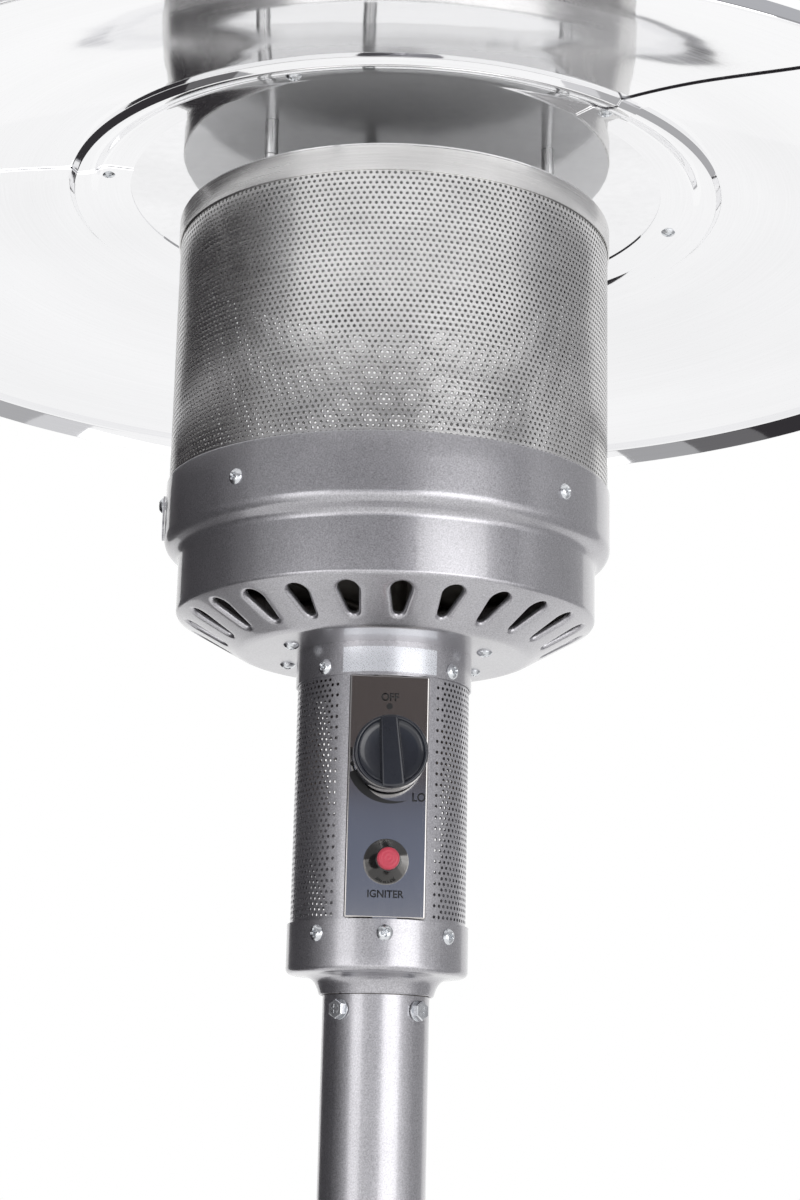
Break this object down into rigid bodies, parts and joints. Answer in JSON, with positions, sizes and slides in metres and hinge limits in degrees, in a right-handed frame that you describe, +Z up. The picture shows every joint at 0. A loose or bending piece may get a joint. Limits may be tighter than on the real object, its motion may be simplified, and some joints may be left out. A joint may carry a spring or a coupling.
{
  "type": "patio heater",
  "caption": "Free-standing gas patio heater: shallow round reflector over a perforated burner screen, slotted housing, control tube with knob and igniter, post, lift-up tank cover.",
  "frame": {"origin": "middle of the base's underside, on the floor", "axes": "+Z up along the post, -Y towards the side with the control panel, +X to the right as seen from there"},
  "size_m": [0.813, 0.813, 2.2616],
  "materials": {
    "silver_paint": "satin",
    "panel_stainless": "satin",
    "screen_stainless": "satin",
    "reflector_aluminium": "polished",
    "zinc_steel": "satin",
    "black_plastic": "satin",
    "gloss_black_plastic": "gloss",
    "red_plastic": "satin",
    "brass": "satin",
    "cast_iron": "rough",
    "burner_steel": "satin",
    "wheel_plastic": "satin"
  },
  "bodies": {
    "stand": {"axle_caps": "black_plastic", "base_ballast": "cast_iron", "base_pan": "silver_paint", "bracket_foot_bolts": "zinc_steel", "bracket_post_bolts": "zinc_steel", "burner_head": "burner_steel", "burner_housing": "silver_paint", "burner_plate": "burner_steel", "collar": "silver_paint", "collar_plate": "silver_paint", "collar_screws": "zinc_steel", "control_panel": "panel_stainless", "control_shroud": "silver_paint", "cup_screws": "zinc_steel", "emitter_deck": "screen_stainless", "emitter_screen": "screen_stainless", "emitter_top_ring": "screen_stainless", "gas_orifice": "brass", "gas_pipe": "burner_steel", "gas_valve": "brass", "head_flange": "burner_steel", "head_sleeve": "burner_steel", "housing_screws": "zinc_steel", "igniter_barrel": "black_plastic", "igniter_bezel": "gloss_black_plastic", "match_cover_screw": "zinc_steel", "pilot_burner": "burner_steel", "pilot_tube": "burner_steel", "post": "silver_paint", "post_bracket_1": "zinc_steel", "post_bracket_2": "zinc_steel", "post_bracket_3": "zinc_steel", "post_cup": "silver_paint", "post_top_bolts": "zinc_steel", "reflector_center_plate": "reflector_aluminium", "reflector_panel_1": "reflector_aluminium", "reflector_panel_2": "reflector_aluminium", "reflector_panel_3": "reflector_aluminium", "reflector_rods": "zinc_steel", "reflector_screws": "zinc_steel", "rod_nuts": "zinc_steel", "spark_electrode": "burner_steel", "thermocouple": "burner_steel", "tilt_switch": "black_plastic", "underside_screws": "zinc_steel", "valve_inlet_fitting": "brass", "valve_screws": "zinc_steel", "venturi_tube": "burner_steel", "wheel_axle": "zinc_steel", "wheel_bracket": "silver_paint"},
    "tank_cover": {"tank_cover_shell": "silver_paint", "tank_cover_lid": "silver_paint"},
    "turning_plug": {"valve_plug": "brass"},
    "pressed_knob": {"control_knob": "black_plastic", "knob_stem": "zinc_steel"},
    "pressed_button": {"igniter_button": "red_plastic"},
    "match_flap": {"match_hole_cover": "silver_paint"},
    "right_wheel": {"wheel_right": "wheel_plastic"},
    "left_wheel": {"wheel_left": "wheel_plastic"}
  },
  "joints": [
    {"name": "tank_cover_lift", "type": "slide", "parent": "stand", "child": "tank_cover", "axis": [0, 0, 1], "range_m": [0, 0.5]},
    {"name": "valve_turn", "type": "hinge", "parent": "stand", "child": "turning_plug", "pos_m": [0, -0.048, 1.88], "axis": [0, -1, 0], "range_deg": [0, 215]},
    {"name": "knob_push", "type": "slide", "parent": "turning_plug", "child": "pressed_knob", "axis": [0, 1, 0], "range_m": [0, 0.0035], "stiffness_N_per_m": 800, "springref_m": -0.005},
    {"name": "igniter_push", "type": "slide", "parent": "stand", "child": "pressed_button", "axis": [0, 1, 0], "range_m": [0, 0.0045], "stiffness_N_per_m": 1500, "springref_m": -0.003},
    {"name": "match_cover_swing", "type": "hinge", "parent": "stand", "child": "match_flap", "pos_m": [-0.1379, 0, 2.039], "axis": [-1, 0, 0], "range_deg": [-100, 100]},
    {"name": "right_wheel_turn", "type": "hinge", "parent": "stand", "child": "right_wheel", "pos_m": [0.072, 0.2625, 0.042], "axis": [1, 0, 0], "continuous": true},
    {"name": "left_wheel_turn", "type": "hinge", "parent": "stand", "child": "left_wheel", "pos_m": [-0.072, 0.2625, 0.042], "axis": [1, 0, 0], "continuous": true}
  ]
}
